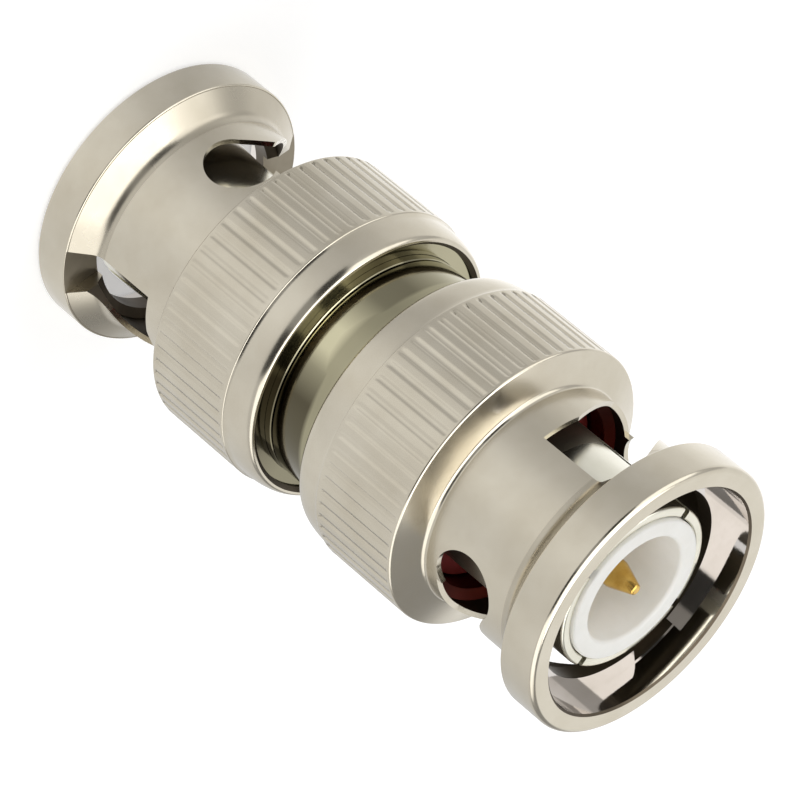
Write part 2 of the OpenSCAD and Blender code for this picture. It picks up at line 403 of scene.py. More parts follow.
@dataclass(frozen=True)
class Metal:
    """A plated or bare metal with the marks of its making.

    The colours are the metal's own and a darker one: a tarnished tone in clouds
    as wide as mottle or, on one piece, painted shade and painted highlight in
    patches that stand in for its reflections: painted_light_round by fraction of
    a turn, faded and then overlaid by fraction of the way up painted_light_span.
    Marks of the lathe are really some 0.05 mm apart and the grain of plate is
    finer still, so ring_pitch and grain are as coarse as they need to be to show.
    """

    name: str
    colour: str
    tarnish_and_painted_shade: str
    roughness: float
    work: SurfaceWork
    ring_pitch: float = 0.14
    ring_depth: float = 0.0006
    grain: float = 0.09
    grain_depth: float = 0.0006
    mottle: float = 2.6
    # Painted shade and painted highlight, on one piece only: round the axis, along it, and over
    # which heights
    painted_light_round: Stops = ()
    painted_light_along: Stops = ()
    painted_light_fade: Stops = ()
    painted_light_span: tuple[float, float] = (0.0, 1.0)

    def painted_light_patch(self, tree: NodeTree, place: NodeSocket) -> NodeSocket:
        """Adds painted shade and painted highlight that vary round the axis and along it.

        Args:
            tree: The nodes to add to.
            place: The socket with the object coordinates.

        Returns:
            The socket of how much painted shade lies on the metal, from 0 to 1, 0 being the
            painted highlight.
        """
        height = tree.add("ShaderNodeSeparateXYZ", links={0: place}).outputs["Z"]
        low, high = self.painted_light_span
        way = tree.add(
            "ShaderNodeMapRange",
            values={"From Min": low * MM, "From Max": high * MM},
            links={"Value": height},
        ).outputs["Result"]
        # Painted shade and painted highlight by turn round the axis, in place of the reflections
        # there
        share = tree.level_round(place, dict(self.painted_light_round))
        for operation, stops in (("MULTIPLY", self.painted_light_fade), ("MAXIMUM", self.painted_light_along)):
            along = tree.add("ShaderNodeValToRGB", links={0: way}, greys=dict(stops))
            share = tree.add(
                "ShaderNodeMath",
                settings={"operation": operation},
                links={0: share, 1: along.outputs["Color"]},
            ).outputs[0]
        return share

    def material(self) -> Material:
        """Builds the metal's material.

        Returns:
            The material.
        """
        made = bpy.data.materials.new(self.name)
        tree = NodeTree(made)
        place = tree.add("ShaderNodeTexCoord").outputs["Object"]
        mottle = tree.add(
            "ShaderNodeTexNoise",
            values={"Scale": 1 / (self.mottle * MM), "Detail": 4.0, "Roughness": 0.55},
            links={"Vector": place},
        )
        # On one piece the darker colour is laid by place as painted shade and painted highlight;
        # elsewhere it lies in random clouds
        if self.painted_light_round:
            patch = self.painted_light_patch(tree, place)
        else:
            patch = tree.add(
                "ShaderNodeMapRange",
                values={"From Min": 0.35, "From Max": 0.75},
                links={"Value": mottle.outputs["Fac"]},
            ).outputs["Result"]
        colour = tree.add(
            "ShaderNodeMix",
            settings={"data_type": "RGBA"},
            values={6: linear(self.colour), 7: linear(self.tarnish_and_painted_shade)},
            links={0: patch},
        )
        low, high = self.roughness * 0.85, self.roughness * 1.15
        rough = tree.add(
            "ShaderNodeMapRange",
            values={"From Min": 0.3, "From Max": 0.7, "To Min": low, "To Max": high},
            links={"Value": mottle.outputs["Fac"]},
        )
        normal = tree.relief(place, (self.grain,) * 3, self.grain_depth)
        if self.work is not SurfaceWork.STAMPED:
            normal = tree.relief(place, (0.0, 0.0, self.ring_pitch), self.ring_depth, normal)
        shader = tree.add(
            "ShaderNodeBsdfPrincipled",
            values={"Metallic": 1.0},
            links={
                "Base Color": colour.outputs[2],
                "Roughness": rough.outputs["Result"],
                "Normal": normal,
            },
        )
        tree.add("ShaderNodeOutputMaterial", links={"Surface": shader.outputs["BSDF"]})
        return made


@dataclass(frozen=True)
class Polymer:
    """A solid plastic or rubber, machined or moulded.

    Marks of a tool or a mould are really some 0.05 mm apart, so ring_pitch is
    as coarse as it needs to be to show.
    """

    name: str
    colour: str
    shade: str
    roughness: float
    work: SurfaceWork
    scatter: float = 0.0
    ior: float = 1.45
    ring_pitch: float = 0.16
    ring_depth: float = 0.002
    mottle: float = 1.5

    def material(self) -> Material:
        """Builds the polymer's material.

        Returns:
            The material.
        """
        made = bpy.data.materials.new(self.name)
        tree = NodeTree(made)
        place = tree.add("ShaderNodeTexCoord").outputs["Object"]
        mottle = tree.add(
            "ShaderNodeTexNoise",
            values={"Scale": 1 / (self.mottle * MM), "Detail": 5.0, "Roughness": 0.6},
            links={"Vector": place},
        )
        patch = tree.add(
            "ShaderNodeMapRange",
            values={"From Min": 0.3, "From Max": 0.75},
            links={"Value": mottle.outputs["Fac"]},
        )
        colour = tree.add(
            "ShaderNodeMix",
            settings={"data_type": "RGBA"},
            values={6: linear(self.colour), 7: linear(self.shade)},
            links={0: patch.outputs["Result"]},
        )
        across = 0.0 if self.work is SurfaceWork.TURNED else self.ring_pitch
        shader = tree.add(
            "ShaderNodeBsdfPrincipled",
            values={
                "Roughness": self.roughness,
                "IOR": self.ior,
                "Subsurface Weight": self.scatter,
                "Subsurface Radius": (1.0, 0.95, 0.9),
                "Subsurface Scale": 0.4 * MM,
            },
            links={
                "Base Color": colour.outputs[2],
                "Normal": tree.relief(place, (across, across, self.ring_pitch), self.ring_depth),
            },
        )
        tree.add("ShaderNodeOutputMaterial", links={"Surface": shader.outputs["BSDF"]})
        return made


# Nickel plate on machined brass, tumbled: warm grey with soft, wide highlights
NICKEL = Metal("satin_nickel_plate", "CEC7B7", "C4BCAA", 0.19, SurfaceWork.PLATED)
# The same plate in the recess of the mouth, where nothing rubs: a hard, clear mirror
BRIGHT_NICKEL = Metal(
    "bright_nickel_in_mouth", "D4CFCA", "C9C4BD", 0.06, SurfaceWork.PLATED, ring_depth=0.0002
)
# Plate in the turned neck behind the lip, rougher and painted darker to dim the lamp's highlight
# there: a creamy, spread light
NECK_NICKEL = Metal("nickel_in_neck_painted_darker", "BFB8A8", "B5AD9C", 0.28, SurfaceWork.TURNED)
# Thin plate over the marks of milling and turning, with no clear reflection: its darker grey is
# partly the milled finish and partly painted shade, in the entries and deep in the nut
DULL_NICKEL_AND_PAINTED_SHADE = Metal("dull_milled_nickel_and_painted_shade", "8A8272", "787060", 0.42, SurfaceWork.TURNED)
# Thin plate in the bore, painted dark for the shade inside it: it makes the openings look deep
DARK_BORE = Metal("nickel_in_bore_painted_dark", "5E5548", "4A4238", 0.45, SurfaceWork.TURNED)
# Plate at the end of the bore, painted red: a painted reflection of the gasket beside it
DEEP_BORE = Metal("nickel_painted_gasket_red", "66261D", "4E1E17", 0.4, SurfaceWork.TURNED)
# Turned and plated body, with painted light in place of its reflections: a painted highlight in a
# stripe between the nuts, painted shade round the rest, and an even half shade towards the upper
# nut
BODY_NICKEL = Metal(
    "nickel_body_with_painted_light", "D0CAAA", "4C4637", 0.12, SurfaceWork.TURNED, ring_depth=0.001,
    painted_light_round=(
        (0.0, 0.5), (0.25, 0.4), (0.31, 0.45), (0.385, 0.8), (0.43, 0.65), (0.458, 0.25),
        (0.486, 0.0), (0.514, 0.1), (0.54, 0.6), (0.583, 0.95), (0.66, 0.9), (0.75, 0.7),
    ),
    painted_light_along=((0.0, 0.0), (0.42, 0.0), (0.58, 0.5), (0.75, 0.5), (1.0, 0.4)),
    painted_light_fade=((0.6129, 1.0), (0.7742, 0.0)),
    painted_light_span=(15.1, 18.2),
)
# Silver plate on the sprung contact: whiter and paler than the nickel round it
SILVER = Metal("silver_plated_contact", "E4E1D3", "D6D3C3", 0.22, SurfaceWork.TURNED)
# Rolled and stamped spring steel: darker than the plate, with no rings of the lathe
SPRING_STEEL = Metal("stamped_spring_steel", "8C8672", "706B5A", 0.15, SurfaceWork.STAMPED)
# Gold plate on the turned pin: deep yellow, with small clouds and a bright tip
GOLD = Metal("gold_plate", "DDB968", "BC9346", 0.14, SurfaceWork.TURNED, mottle=0.8)
# Machined fluoropolymer: clean white and a little waxy, as light scatters under its skin
FLUOROPOLYMER = Polymer(
    "machined_fluoropolymer", "F4F3EF", "EBEAE4", 0.42, SurfaceWork.TURNED, scatter=0.35, ior=1.36
)
# Moulded silicone rubber: a dark, matt red
SILICONE = Polymer(
    "moulded_red_silicone", "942018", "761810", 0.6, SurfaceWork.MOULDED, ior=1.41
)


@dataclass
class Piece:
    """One finished piece and what it stands for."""

    item: Object
    node: str
    body: str
    slot: str

    def join_frame(self) -> None:
        """Puts the piece in its CAD node's place, on its body."""
        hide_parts(self.node)
        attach(self.item, self.body)
        LOG.info("%s stands for %s on %s", self.item.name, self.node, self.body)


def both_ends(
    master: Object, names: tuple[str, str, str, str], turns: tuple[float, float] = (0.0, 0.0)
) -> list[Piece]:
    """Copies a piece drawn mouth down to both ends, and deletes the first.

    Args:
        master: The finished piece.
        names: Of the copy, its node, its body and its slot, with {} for the end.
        turns: The lower and the upper copy's turn about Z, in degrees.

    Returns:
        The two pieces.
    """
    made = []
    for end, turn in zip(End, turns):
        name, node, body, slot = (text.format(end.value) for text in names)
        item = copy_of(master, name)
        stand(item, end, turn)
        made.append(Piece(item, node, body, slot))
    bpy.data.objects.remove(master)
    return made


class NutFace(IntEnum):
    """The surfaces of a coupling nut, in the order of its materials."""

    OUTSIDE = 0
    MOUTH = 1
    BORE = 2
    MILLED = 3
    NECK = 4
    DEEP = 5


@dataclass
class CouplingNut:
    """The knurled bayonet nut, drawn mouth down with a catch hole on +X.

    Its turns are in degrees from that hole.
    """

    # The lip round the mouth, and the neck behind it
    lip_r: float = 6.88
    lip_len: float = 2.0
    lip_round: float = 0.28
    mouth_r: float = 5.85
    mouth_depth: float = 1.45
    lip_neck: float = 1.25
    neck_fillet: float = 0.75
    # The barrel, thinner inside
    bore_r: float = 4.95
    barrel_r: float = 5.65
    barrel_len: float = 7.98
    barrel_rows: int = 8
    row_gap: float = 0.6
    relief_r: float = 5.4
    relief_lead: tuple[float, float] = (0.3, 0.5)
    relief_run_out: float = 0.25
    fillet: float = 0.25
    # The grip, with its knurl, front corner, heel and crown
    knurl_r: float = 7.2
    knurl_at: float = 8.67
    knurl_len: float = 4.8
    knurl_count: int = 60
    knurl_margin: float = 0.14
    knurl_lead: float = 0.12
    knurl_fade: float = 0.2
    groove_depth: float = 0.13
    groove_facets: int = 6
    corner: float = 0.14
    corner_drop: float = 0.12
    heel: float = 0.07
    heel_drop: float = 0.05
    rim_r: float = 6.83
    rim_bevel: float = 0.19
    rim_depth: float = 0.15
    length: float = 15.045
    edge: float = 0.1
    # The spring chamber and the groove of the retaining ring
    chamber_r: float = 6.4
    chamber_at: float = 10.1
    ring_at: float = 14.1
    ring_play: float = 0.025
    groove_r: float = 6.62
    groove_end: float = 14.805
    # The bayonet: catch hole, entry, ramp and the slot's back wall
    catch_r: float = 1.65
    catch_at: float = 5.72
    catch_cut: float = 3.0
    entry_turn: float = 80.0
    entry_w: float = 2.1
    entry_front: float = 0.03
    entry_back_at: float = 6.33
    entry_edge: float = 0.25
    groove_extra: float = 0.12
    stud_r: float = 5.65
    ramp_at: float = 2.55
    ramp_top_at: float = 5.0
    ramp_top_turn: float = 150.0
    ramp_end_at: float = 4.35
    ramp_end_turn: float = 171.0
    slot_end_turn: float = 170.0
    slot_steps: int = 40
    back_lead: float = 10.0
    cut_inside: float = 0.4
    cut_outside: float = 0.6
    # How far a face's normal leans, by which its surface is told
    flat: float = 0.9
    edgewise: float = 0.6
    inward: float = -0.1
    rearward: float = 0.02
    sharp_from: float = 28.0
    turns: tuple[float, float] = (-127.4, -36.0)

    @property
    def entry_end(self) -> float:
        """Gives the turn at which the entry for a stud ends."""
        return self.entry_turn + math.degrees(self.entry_w / self.stud_r)

    def ramp(self, turn: float) -> float:
        """Gives the height of the ramp, the slot's front wall.

        Args:
            turn: Where it is asked.

        Returns:
            The height in millimetres.
        """
        if turn < self.ramp_top_turn:
            way = (turn - self.entry_end) / (self.ramp_top_turn - self.entry_end)
            return self.ramp_at + (self.ramp_top_at - self.ramp_at) * way
        way = min(1.0, (turn - self.ramp_top_turn) / (self.ramp_end_turn - self.ramp_top_turn))
        fall = self.ramp_end_at - self.ramp_top_at
        return self.ramp_top_at + fall * (1 - math.cos(math.pi / 2 * way))

    def back(self, turn: float) -> float:
        """Gives the height of the slot's back wall.

        Args:
            turn: Where it is asked.

        Returns:
            The height in millimetres.
        """
        way = (turn - self.entry_end) / (self.ramp_top_turn - self.back_lead - self.entry_end)
        rise = self.catch_at + self.catch_r - self.entry_back_at
        return self.entry_back_at + rise * max(0.0, min(1.0, way))

    def profile(self) -> Points:
        """Draws the nut's section, anticlockwise from the mouth's inner edge.

        Returns:
            Its points.
        """
        end = self.knurl_at + self.knurl_len
        soft, curl = self.edge, self.lip_round
        lip = profile_arc((self.lip_r - curl, curl), curl, -90, 0, steps=10)
        shoulder = profile_arc((self.lip_r - soft, self.lip_len - soft), soft, 0, 90, steps=5)
        neck_end = self.lip_len + self.lip_neck
        root = (self.barrel_r + self.neck_fillet, neck_end)
        neck = profile_arc(root, self.neck_fillet, start=232, stop=180, steps=12)
        rows = range(1, self.barrel_rows + 1)
        barrel = [(self.barrel_r, neck_end + self.row_gap * row) for row in rows]
        root = (self.barrel_r + self.fillet, self.barrel_len)
        fillet = profile_arc(root, self.fillet, start=180, stop=110, steps=8)
        root = (self.knurl_r - self.corner, self.knurl_at + self.corner_drop)
        corner = profile_arc(root, self.corner, start=-70, stop=0)
        first, last = self.knurl_at + self.knurl_margin, end - self.knurl_margin
        heights = (first, first + self.knurl_lead, last - self.knurl_fade, last)
        band = [(self.knurl_r, height) for height in heights]
        root = (self.knurl_r - self.heel, end - self.heel_drop)
        heel = profile_arc(root, self.heel, start=0, stop=60, steps=5)
        sag, rise = self.knurl_r - self.rim_r, self.length - end
        crown = [
            (self.rim_r - soft + sag * across, end + rise * up)
            for across, up in profile_arc((0.0, 0.0), 1.0, 0, 90, steps=16)[1:]
        ]
        inner_r = self.chamber_r + soft / 2
        inside = [
            (inner_r + self.rim_bevel, self.length),
            (inner_r, self.length - self.rim_depth),
            (inner_r, self.groove_end),
            (self.groove_r, self.groove_end),
            (self.groove_r, self.ring_at - self.ring_play),
            (self.chamber_r, self.ring_at - self.ring_play),
            (self.chamber_r, self.chamber_at),
            (self.bore_r, self.chamber_at),
            (self.bore_r, self.barrel_len + self.relief_run_out),
            (self.relief_r, self.barrel_len),
            (self.relief_r, self.lip_len + self.relief_lead[1]),
            (self.bore_r, self.lip_len + self.relief_lead[0]),
            (self.bore_r, self.mouth_depth),
            (self.mouth_r, self.mouth_depth),
            (self.mouth_r, soft),
            (self.mouth_r + soft, 0.0),
        ]
        return lip + shoulder + neck + barrel + fillet + corner + band + heel + crown + inside

    def slot_cutter(self) -> Object:
        """Draws the slot behind the lip, section by section from the entry to the catch hole.

        Returns:
            A closed cutter.
        """
        inner, outer = self.bore_r - self.cut_inside, self.lip_r + self.cut_outside
        entry = [self.entry_turn, (self.entry_turn + self.entry_end) / 2, self.entry_end]
        run = self.slot_end_turn - self.entry_end
        steps = range(1, self.slot_steps + 1)
        turns = entry + [self.entry_end + self.entry_edge]
        turns += [self.entry_end + run * step / self.slot_steps for step in steps]
        fronts = [self.lip_len - self.entry_front] * len(entry)
        fronts += [self.ramp(turn) for turn in turns[len(entry) :]]
        sections = [
            around([(inner, front), (outer, front), (outer, rear), (inner, rear)], turn)
            for front, rear, turn in zip(fronts, map(self.back, turns), turns)
        ]
        item = section(sections[0])
        for old, new in zip(sections, sections[1:]):
            bpy.ops.mesh.extrude_region_move()
            mesh = bmesh.from_edit_mesh(item.data)
            # Each extruded corner still lies on the old one, which tells its new place
            for corner in [vert for vert in mesh.verts if vert.select]:
                gaps = [(corner.co - spot).length for spot in old]
                corner.co = new[gaps.index(min(gaps))]
            bmesh.update_edit_mesh(item.data)
        close_up()
        return item

    def groove_cutter(self) -> Object:
        """Draws the groove through which a stud passes under the lip.

        Returns:
            A closed cutter.
        """
        extra = math.degrees(self.groove_extra / self.stud_r)
        sweep = math.radians(self.entry_end - self.entry_turn + 2 * extra)
        low, high = self.mouth_depth - OVERLAP, self.lip_len + OVERLAP
        inner, outer = self.bore_r - self.cut_inside, self.stud_r + OVERLAP
        spots = [(inner, low), (outer, low), (outer, high), (inner, high)]
        item = section(around(spots, self.entry_turn - extra))
        bpy.ops.mesh.spin(
            steps=16, angle=sweep, center=(0, 0, 0), axis=(0, 0, 1), use_auto_merge=False
        )
        close_up()
        return item

    def pair(self, cutter: Object) -> Object:
        """Adds the opposite twin of a cutter, half a turn round.

        Args:
            cutter: The cutter on one side.

        Returns:
            Both as one object.
        """
        twin = copy_of(cutter, "twin_cutter")
        twin.matrix_world = Matrix.Rotation(math.pi, 4, "Z") @ cutter.matrix_world
        activate(cutter)
        twin.select_set(True)
        bpy.ops.object.join()
        settle(cutter)
        return cutter

    def master(self) -> Object:
        """Draws the nut once: turned, knurled and cut.

        Returns:
            The finished nut, mouth down at z = 0.
        """
        steps = self.knurl_count * self.groove_facets
        nut = spun("coupling_nut", self.profile(), steps)
        self.knurl(nut)
        cut(nut, self.pair(self.slot_cutter()))
        cut(nut, self.pair(self.groove_cutter()))
        deselect()
        bpy.ops.mesh.primitive_cylinder_add(
            vertices=96,
            radius=self.catch_r * MM,
            depth=self.catch_cut * MM,
            location=(self.barrel_r * MM, 0, self.catch_at * MM),
            rotation=(0, math.pi / 2, 0),
        )
        cut(nut, self.pair(bpy.context.active_object))
        return nut

    def knurl(self, nut: Object) -> None:
        """Presses the straight grooves of the knurl into the band.

        Args:
            nut: The turned nut.
        """
        margin = self.knurl_margin + self.knurl_lead / 2
        low, high = self.knurl_at + margin, self.knurl_at + self.knurl_len - margin
        activate(nut)
        bpy.ops.object.mode_set(mode="EDIT")
        bpy.ops.mesh.select_mode(type="VERT")
        bpy.ops.mesh.select_all(action="DESELECT")
        mesh = bmesh.from_edit_mesh(nut.data)
        # Of the rows that run along the band, one in groove_facets is pressed in
        pitch = 360.0 / self.knurl_count
        for vert in mesh.verts:
            off = math.degrees(math.atan2(vert.co.y, vert.co.x)) % pitch
            vert.select = (
                vert.co.xy.length > (self.knurl_r - NEAR) * MM
                and low * MM < vert.co.z < high * MM
                and min(off, pitch - off) < pitch / self.groove_facets / 2
            )
        mesh.select_flush_mode()
        bmesh.update_edit_mesh(nut.data)
        shrink = (self.knurl_r - self.groove_depth) / self.knurl_r
        bpy.ops.transform.resize(value=(shrink, shrink, 1), center_override=(0, 0, 0))
        bpy.ops.object.mode_set(mode="OBJECT")

    def kind(self, face: MeshPolygon) -> NutFace:
        """Tells which surface of the nut a face belongs to.

        Args:
            face: A face of the finished nut, mouth down.

        Returns:
            The surface.
        """
        radius, height = face.center.xy.length / MM, face.center.z / MM
        lean = face.normal.z
        outward = face.center.xy.normalized().dot(face.normal.xy)
        if radius < self.mouth_r + NEAR and height < self.mouth_depth + NEAR:
            return NutFace.MOUTH
        # Flats in the entries take the darker plate: partly their milled finish, partly painted
        # shade
        if lean > self.flat and height < self.lip_len + OVERLAP:
            return NutFace.MILLED
        wall = radius > self.relief_r + NEAR and abs(outward) < self.edgewise
        # Faces inside the bore take painted shade, and those at its far end a painted red
        # reflection of the gasket
        if not wall and (radius < self.barrel_r - NEAR or outward < self.inward):
            deep = height > self.barrel_len - OVERLAP and radius < self.relief_r
            return NutFace.DEEP if deep else NutFace.BORE
        # The neck behind the lip is painted a little darker, to dim the lamp's highlight on it
        neck = self.lip_len < height < self.lip_len + self.lip_neck and lean > self.rearward
        return NutFace.NECK if neck else NutFace.OUTSIDE

    def build(self, finishes: tuple[Material, ...]) -> list[Piece]:
        """Builds both nuts.

        Args:
            finishes: The materials, in the order of NutFace.

        Returns:
            The two pieces.
        """
        master = self.master()
        coat(master, *finishes)
        for face in master.data.polygons:
            face.material_index = self.kind(face)
        smooth_by_angle(master, self.sharp_from)
        # The grooves of the knurl are shallow and have no hard edges
        low, high = self.knurl_at * MM, (self.knurl_at + self.knurl_len) * MM
        for edge in master.data.edges:
            ends = [master.data.vertices[i].co for i in edge.vertices]
            if all(low < end.z < high and end.xy.length > self.barrel_r * MM for end in ends):
                edge.use_edge_sharp = False
        apply_modifier(master, "WEIGHTED_NORMAL", keep_sharp=True)
        names = ("nut_{}_bayonet", "coupling_nut_{}", "{}_nut", "nickel")
        return both_ends(master, names, self.turns)


@dataclass
class OuterContact:
    """The slotted sleeve round the insulator, drawn mouth down."""

    tip_r: float = 4.13
    shank_r: float = 4.05
    inner_r: float = 3.65
    tip_at: float = 1.1
    end_at: float = 12.25
    nose: float = 0.15
    inner_nose: float = 0.08
    bulge_len: float = 1.2
    waist_len: float = 1.8
    waist_extra: float = 0.04
    taper_len: float = 2.4
    slit_count: int = 4
    slit_w: float = 0.4
    slit_cut: float = 12.0
    slit_from: float = 0.5
    slit_end: float = 6.5
    slit_turn: float = 80.0
    # Beyond this height, deep in the nut, the shank is painted darker as shade
    bright_end: float = 6.2

    def build(self, plate: Material, dull_and_painted_dark: Material) -> list[Piece]:
        """Builds both contacts.

        Args:
            plate: The material of the sprung part.
            dull_and_painted_dark: The material of the shank behind it, darker to paint the shade
                deep in the nut.

        Returns:
            The two pieces.
        """
        root = (self.inner_r + self.inner_nose, self.tip_at + self.inner_nose)
        inner_nose = profile_arc(root, self.inner_nose, 180, 270, steps=4)
        root = (self.tip_r - self.nose, self.tip_at + self.nose)
        nose = profile_arc(root, self.nose, -90, 0, steps=8)
        waist = [
            (self.tip_r, self.tip_at + self.bulge_len),
            (self.shank_r + self.waist_extra, self.tip_at + self.waist_len),
            (self.shank_r, self.tip_at + self.taper_len),
            (self.shank_r, self.bright_end),
            (self.shank_r, self.end_at),
            (self.inner_r, self.end_at),
        ]
        master = spun("outer_contact", inner_nose + nose + waist, steps=180)
        # One cutter goes right across, so each makes two slits
        for index in range(self.slit_count // 2):
            deselect()
            middle = (self.slit_end + self.slit_from) / 2
            bpy.ops.mesh.primitive_cube_add(size=1, location=(0, 0, middle * MM))
            cutter = bpy.context.active_object
            length = self.slit_end - self.slit_from
            cutter.scale = (self.slit_cut * MM, self.slit_w * MM, length * MM)
            turn = self.slit_turn + 360 / self.slit_count * index
            cutter.rotation_euler = (0, 0, math.radians(turn))
            settle(cutter)
            cut(master, cutter)
        coat(master, plate, dull_and_painted_dark)
        # Faces beyond bright_end take the darker plate, as painted shade
        for face in master.data.polygons:
            face.material_index = int(face.center.z > self.bright_end * MM)
        smooth_by_angle(master)
        return both_ends(master, ("contact_{}_slotted", "outer_contact_{}", "core", "nickel"))


@dataclass
class Insulator:
    """The white insulator inside an outer contact, drawn mouth down."""

    outer_r: float = 3.6
    front_at: float = 0.94
    socket_r: float = 2.7
    floor_at: float = 6.54
    shank_r: float = 0.92
    land: float = 0.4
    chamfer: float = 0.2
    rim: float = 0.1
    floor_round: float = 0.15

    def build(self, plastic: Material) -> list[Piece]:
        """Builds both insulators.

        Args:
            plastic: Their material.

        Returns:
            The two pieces.
        """
        middle = TOTAL / 2 - SEAM
        root = (self.socket_r + self.chamfer, self.front_at + self.chamfer)
        lead = profile_arc(root, self.chamfer, 180, 270)
        root = (self.outer_r - self.rim, self.front_at + self.rim)
        rim = profile_arc(root, self.rim, -90, 0, steps=5)
        root = (self.socket_r - self.floor_round, self.floor_at - self.floor_round)
        bottom = profile_arc(root, self.floor_round, 90, 0, steps=5)
        outline = lead + rim + [
            (self.outer_r, middle),
            (self.shank_r, middle),
            (self.shank_r, self.floor_at),
            (self.shank_r + self.land, self.floor_at),
        ]
        master = spun("insulator", outline + bottom, steps=144)
        coat(master, plastic)
        smooth_by_angle(master)
        return both_ends(master, ("insulator_{}_socket", "insulator_{}", "core", "fluoropolymer"))


@dataclass
class CentreContact:
    """The double-ended gold pin."""

    pin_r: float = 0.675
    tip_r: float = 0.275
    tip_at: float = 0.9
    nose: float = 0.12
    taper: float = 1.2
    shoulder: float = 0.03
    shoulder_lead: float = 0.06
    shoulder_run_out: float = 0.05
    floor_at: float = 6.54
    shank_r: float = 0.9
    shank_step: float = 0.02

    def build(self, gold: Material) -> list[Piece]:
        """Builds the pin.

        Args:
            gold: Its material.

        Returns:
            The one piece.
        """
        root = (self.tip_r - self.nose, self.tip_at + self.nose)
        taper_end = self.tip_at + self.taper
        half = [(0.0, self.tip_at)] + profile_arc(root, self.nose, start=-90, stop=-12)
        half += [
            (self.pin_r - self.shoulder, taper_end - self.shoulder_lead),
            (self.pin_r, taper_end + self.shoulder_run_out),
            (self.pin_r, self.floor_at - self.shank_step),
            (self.shank_r, self.floor_at),
        ]
        other = [(radius, TOTAL - height) for radius, height in reversed(half)]
        item = spun("pin_double_ended", half + other, steps=96, closed=False)
        coat(item, gold)
        smooth_by_angle(item)
        return [Piece(item, "centre_contact", "core", "gold")]


@dataclass
class Body:
    """The turned body between the nuts: two halves in a pressed sleeve."""

    hub_r: float = 5.7
    collar_r: float = 6.3
    collar_at: float = 10.15
    spring_at: float = 11.05
    bore_r: float = 4.07
    spigot_r: float = 5.0
    land_at: float = 14.02
    land_r: float = 5.83
    sleeve_at: float = 15.155
    sleeve_r: float = 5.82
    sleeve_in_r: float = 5.02
    sleeve_gap: float = 0.02
    chamfer: float = 0.12
    soft: float = 0.04
    land_rise: float = 0.02
    bevel_from: float = 0.5

    def build(self, turned: Material) -> list[Piece]:
        """Builds the sleeve and both halves.

        Args:
            turned: Their material.

        Returns:
            The three pieces.
        """
        middle = TOTAL / 2 - SEAM
        half = [
            (self.bore_r, self.collar_at),
            (self.collar_r, self.collar_at),
            (self.collar_r, self.spring_at),
            (self.hub_r, self.spring_at),
            (self.hub_r, self.land_at),
            (self.land_r, self.land_at + self.land_rise),
            (self.land_r, self.sleeve_at - self.soft),
            (self.land_r - self.soft, self.sleeve_at),
            (self.spigot_r, self.sleeve_at),
            (self.spigot_r, middle),
            (self.bore_r, middle),
        ]
        master = spun("body_half", half, steps=180)
        coat(master, turned)
        smooth_by_angle(master)
        made = both_ends(master, ("body_{}_half", "body_{}", "core", "nickel"))
        low = self.sleeve_at + self.sleeve_gap
        high = TOTAL - self.sleeve_at - self.sleeve_gap
        outline = [
            (self.sleeve_in_r, low),
            (self.sleeve_r - self.chamfer, low),
            (self.sleeve_r, low + self.chamfer),
            (self.sleeve_r, high - self.chamfer),
            (self.sleeve_r - self.chamfer, high),
            (self.sleeve_in_r, high),
        ]
        sleeve = spun("sleeve_pressed", outline, steps=180)
        coat(sleeve, turned)
        limit = {"limit_method": "ANGLE", "angle_limit": self.bevel_from}
        apply_modifier(sleeve, "BEVEL", width=self.soft * MM, segments=2, **limit)
        smooth_by_angle(sleeve)
        return made + [Piece(sleeve, "middle_sleeve", "core", "nickel")]


@dataclass(frozen=True)
class SoftBox:
    """A lamp that faces the middle of the adapter.

    It hangs round_to degrees round from the viewer's side and up degrees above
    the floor. Its level is how bright its face is, 1 being white.
    """

    name: str
    round_to: float
    up: float
    size: tuple[float, float]
    level: float
    lights_matt: bool = True


SOFT_BOXES = (
    SoftBox("soft_box_left", 91, 34, (300, 150), 1.15),
    SoftBox("soft_box_right", -72, 34, (210, 150), 1.15),
    SoftBox("soft_box_overhead", 0, 76, (300, 290), 2.2, lights_matt=False),
)


# Grey level of the floor and of the room in each direction, as the metal shows them,
# by fraction of a turn, 0.5 being the viewer's side
FLOOR_LIGHT = {
    0.0: 0.85, 0.03: 1.2, 0.09: 1.3, 0.15: 1.2, 0.20: 1.0, 0.26: 0.88, 0.31: 0.70,
    0.36: 0.62, 0.42: 0.74, 0.47: 0.96, 0.53: 1.04, 0.58: 0.94, 0.64: 0.88, 0.70: 0.94,
    0.78: 0.90, 0.85: 0.78, 0.92: 0.70, 0.97: 0.66, 1.0: 0.85,
}
ROOM_LIGHT = {
    0.0: 1.1, 0.148: 1.0, 0.155: 0.6, 0.215: 0.6, 0.222: 0.7, 0.376: 0.7, 0.378: 0.05,
    0.455: 0.05, 0.465: 0.4, 0.535: 0.4, 0.545: 0.05, 0.643: 0.05, 0.645: 0.7,
    0.840: 0.7, 0.845: 0.35, 0.945: 0.35, 0.965: 1.1, 1.0: 1.1,
}


